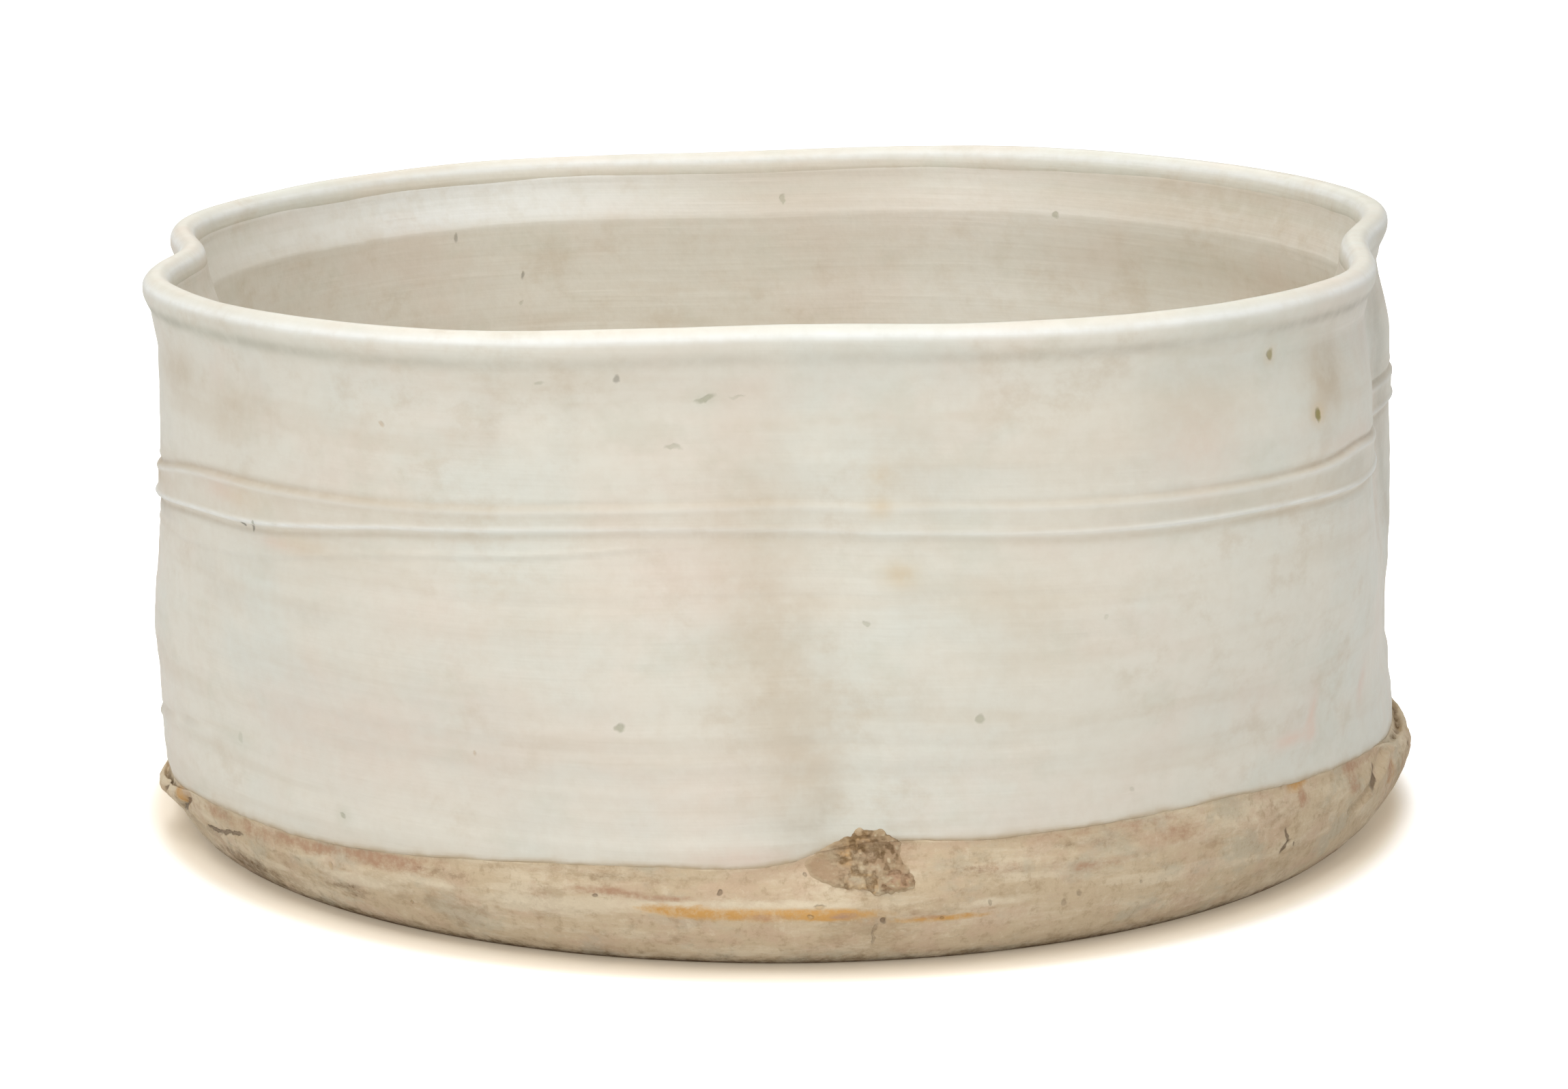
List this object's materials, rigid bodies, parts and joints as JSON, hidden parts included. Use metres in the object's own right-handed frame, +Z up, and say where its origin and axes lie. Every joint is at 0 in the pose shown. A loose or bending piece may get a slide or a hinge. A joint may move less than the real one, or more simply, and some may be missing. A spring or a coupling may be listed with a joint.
{
  "type": "stoneware bowl",
  "caption": "Wide, low stoneware bowl with a rolled rim and a wall pressed in on four sides, seated in a turned-up slab of bare clay and glazed pale inside and out.",
  "frame": {"origin": "centre of the flat foot, on the surface it stands on", "axes": "+Z up out of the bowl, -Y towards the front tuck that faces the picture's camera, +X to the right"},
  "size_m": [0.3086, 0.3041, 0.1429],
  "materials": {
    "bare_clay": "dry toasted stoneware, mottled tan",
    "wall_clay": "dry fired stoneware",
    "rough_clay": "rough pitted stoneware",
    "pale_glaze": "satin, milky warm white with faint mottling"
  },
  "bodies": {
    "root": {"base_slab": "bare_clay", "lower_wall": "wall_clay", "upper_wall": "wall_clay", "rim_roll": "wall_clay", "seam_coil": "wall_clay", "outer_glaze": "pale_glaze", "inner_glaze": "pale_glaze", "seam_dab": "rough_clay"}
  },
  "joints": []
}
